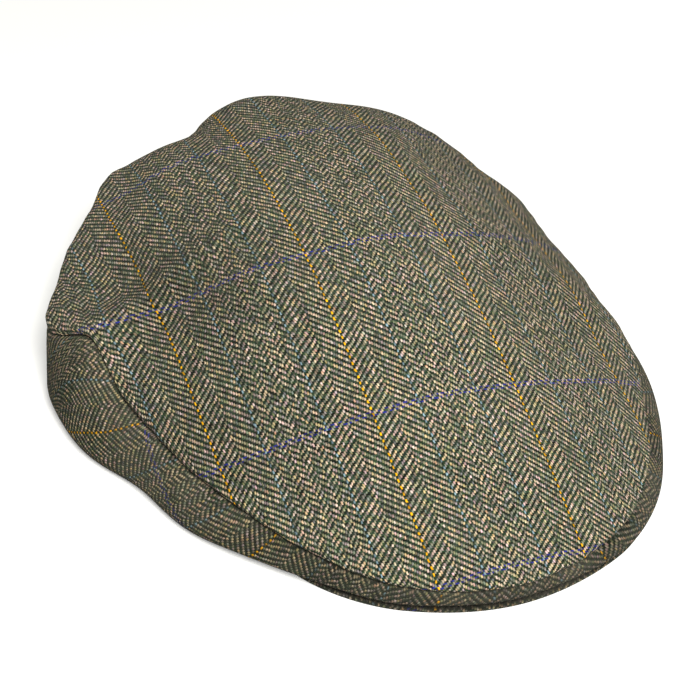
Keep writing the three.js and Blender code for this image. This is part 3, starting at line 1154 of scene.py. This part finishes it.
def build_yarns():
    values = [("Depth", "value"), ("Wear", "value"), ("Painted Shading", "value")]
    group, entry, leave, work = new_group(
        "tweed_yarns",
        [("Threads", "vector"), ("Dusk", "colour"), *values],
        [("Colour", "colour"), ("Height", "value"), ("Roughness", "value")],
    )
    node = group.nodes.new("ShaderNodeGroup")
    node.node_tree = herringbone
    group.links.new(entry["Threads"], node.inputs["Threads"])
    lie = node.outputs
    end, pick, warp_up = lie["End"], lie["Pick"], lie["Warp Up"]
    weft_up = work("SUBTRACT", 1.0, warp_up)
    across = work("ADD", end, lie["In End"])
    along = work("ADD", pick, lie["In Pick"])

    def on_top(warp_value, weft_value):
        return work("ADD", work("MULTIPLY", warp_value, warp_up), work("MULTIPLY", weft_value, weft_up))

    height = on_top(*yarn_heights(work, lie))
    warp_chance, warp_tint = chance_at(group, end, work("MULTIPLY", lie["Float"], FLOAT_CHANCE_STEP))
    weft_seat = work("FLOOR", work("DIVIDE", work("ADD", across, pick), 2.0))
    weft_chance, weft_tint = chance_at(group, weft_seat, pick)
    warp = warp_colour(group, work, end, along, warp_tint, lie["Repeat Place"])
    weft = weft_colour(group, work, pick, across, weft_tint)
    cloth = blended(group, warp_up, weft, warp)
    uneven = work("MULTIPLY", on_top(warp_chance, weft_chance), UNEVEN_RANGE)
    uneven = work("ADD", uneven, UNEVEN_LEAST)
    lit = work("ADD", work("MULTIPLY", work("SUBTRACT", height, 1.0), entry["Depth"]), 1.0)
    # The last of these is the painted shade and light from the mesh.
    for share in (uneven, lit, entry["Painted Shading"]):
        cloth = multiplied(group, cloth, place(group, share, share, share))
    cloth = multiplied(group, cloth, entry["Dusk"])

    patch = work("SUBTRACT", noise_at(group, entry["Threads"], WEAR_SCALE, 2.0), WEAR_FROM)
    worn = work("MULTIPLY", work("MAXIMUM", patch, 0.0), entry["Wear"])
    hair = noise_at(group, entry["Threads"], HAIR_SCALE, 3.0)
    raised = work("MULTIPLY", hair, HAIR_HEIGHT)
    rough = work("MULTIPLY", hair, ROUGH_RANGE)
    group.links.new(blended(group, worn, cloth, WEAR_COLOUR), leave["Colour"])
    group.links.new(work("ADD", height, raised), leave["Height"])
    group.links.new(work("ADD", rough, ROUGH_LEAST), leave["Roughness"])
    return group


yarns = build_yarns()
print("the yarn group has", len(yarns.nodes), "nodes")

# %% [markdown]
# One recipe dresses all three pieces. A little sheen stands for the fine hairs that catch the
# light at a grazing look. The bump is as high as a yarn is thick. The band and the peak get a
# darker dusk than the top, since the real ones see less of the room than this even world gives.

# %% Tweed material
BUMP_STRENGTH = 0.9
YARN_THICKNESS = 0.0005
SHINE = 0.08
SHEEN_WEIGHT = 0.04
SHEEN_ROUGHNESS = 0.45
SHEEN_TINT = (0.80, 0.78, 0.70, 1.0)
TOP_LOOK = {"depth": 0.66, "wear": 0.12, "dusk": (1.0, 1.0, 1.0)}
BAND_LOOK = {"depth": 0.7, "wear": 0.5, "dusk": (0.60, 0.60, 0.56)}


def make_tweed(name, depth, wear, dusk):
    material = bpy.data.materials.new(name)
    material.use_nodes = True
    tree = material.node_tree
    shader = tree.nodes["Principled BSDF"]
    threads = tree.nodes.new("ShaderNodeUVMap")
    threads.uv_map = "threads"
    # Reads each piece's painted shade and light from its point layer.
    painted_shading_attribute = tree.nodes.new("ShaderNodeAttribute")
    painted_shading_attribute.attribute_name = "painted_shading"
    cloth = tree.nodes.new("ShaderNodeGroup")
    cloth.node_tree = yarns
    cloth.inputs["Depth"].default_value = depth
    cloth.inputs["Wear"].default_value = wear
    cloth.inputs["Dusk"].default_value = (*dusk, 1.0)
    bump = tree.nodes.new("ShaderNodeBump")
    bump.inputs["Strength"].default_value = BUMP_STRENGTH
    bump.inputs["Distance"].default_value = YARN_THICKNESS
    tree.links.new(painted_shading_attribute.outputs["Fac"], cloth.inputs["Painted Shading"])
    tree.links.new(threads.outputs[0], cloth.inputs["Threads"])
    tree.links.new(cloth.outputs["Colour"], shader.inputs["Base Color"])
    tree.links.new(cloth.outputs["Roughness"], shader.inputs["Roughness"])
    tree.links.new(cloth.outputs["Height"], bump.inputs["Height"])
    tree.links.new(bump.outputs[0], shader.inputs["Normal"])
    shader.inputs["Specular IOR Level"].default_value = SHINE
    shader.inputs["Sheen Weight"].default_value = SHEEN_WEIGHT
    shader.inputs["Sheen Roughness"].default_value = SHEEN_ROUGHNESS
    shader.inputs["Sheen Tint"].default_value = SHEEN_TINT
    return material


tweed = make_tweed("tweed_top", **TOP_LOOK)
band_tweed = make_tweed("tweed_band", **BAND_LOOK)
top_panel.data.materials.append(tweed)
side_band.data.materials.append(band_tweed)
peak.data.materials.append(band_tweed)
print("materials:", tweed.name, band_tweed.name)

# %% [markdown]
# Two of the pieces are soft sheets.

print("sheets:", top_panel.name, side_band.name)
